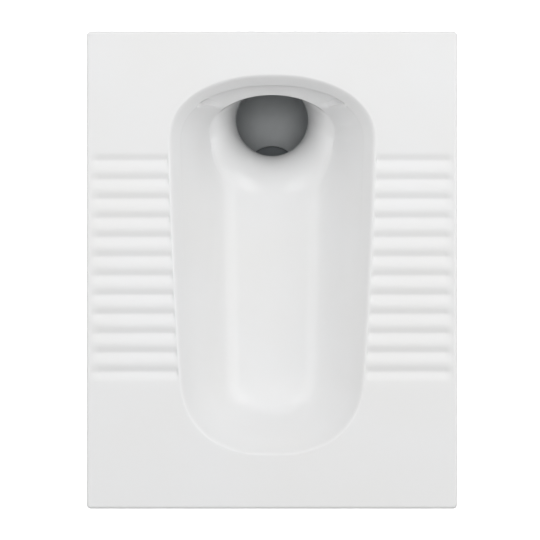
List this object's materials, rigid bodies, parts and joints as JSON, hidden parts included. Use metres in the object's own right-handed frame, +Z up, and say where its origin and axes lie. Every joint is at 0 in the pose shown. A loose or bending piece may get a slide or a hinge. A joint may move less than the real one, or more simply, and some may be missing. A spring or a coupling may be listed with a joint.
{
  "type": "squat toilet",
  "caption": "White glazed squat pan with ribbed foot treads, a tapering well, a flush slot at the back and a drain above a plastic trap.",
  "frame": {"origin": "middle of the deck, on the plane of its skirt's lower edge", "axes": "+Z up, +Y to the back, where the drain and the flush inlet are, +X to the right"},
  "size_m": [0.45, 0.58, 0.44],
  "materials": {
    "glazed_china": "gloss",
    "seal_rubber": "matte",
    "trap_plastic": "satin",
    "cap_plastic": "satin"
  },
  "bodies": {
    "pan": {"deck": "glazed_china", "bowl": "glazed_china", "flush_chamber": "glazed_china", "outlet_horn": "glazed_china", "inlet_seal": "seal_rubber", "outlet_seal": "seal_rubber", "trap_connector": "trap_plastic", "trap_body": "trap_plastic", "trap_bend_seal": "seal_rubber", "trap_outlet_bend": "trap_plastic"},
    "washer": {"cleanout_seal": "seal_rubber"},
    "cap": {"cleanout_cap": "cap_plastic"}
  },
  "joints": [
    {"name": "cap_travel", "type": "slide", "parent": "pan", "child": "washer", "axis": [0, 0, -1], "range_m": [0, 0.0121]},
    {"name": "cap_turn", "type": "hinge", "parent": "washer", "child": "cap", "pos_m": [0, 0.124, -0.387], "axis": [0, 0, -1], "range_deg": [0, 1080]}
  ],
  "couplings": [
    {"joint": "cap_travel", "follows": "cap_turn", "m_per_rad": 0.00063662}
  ]
}
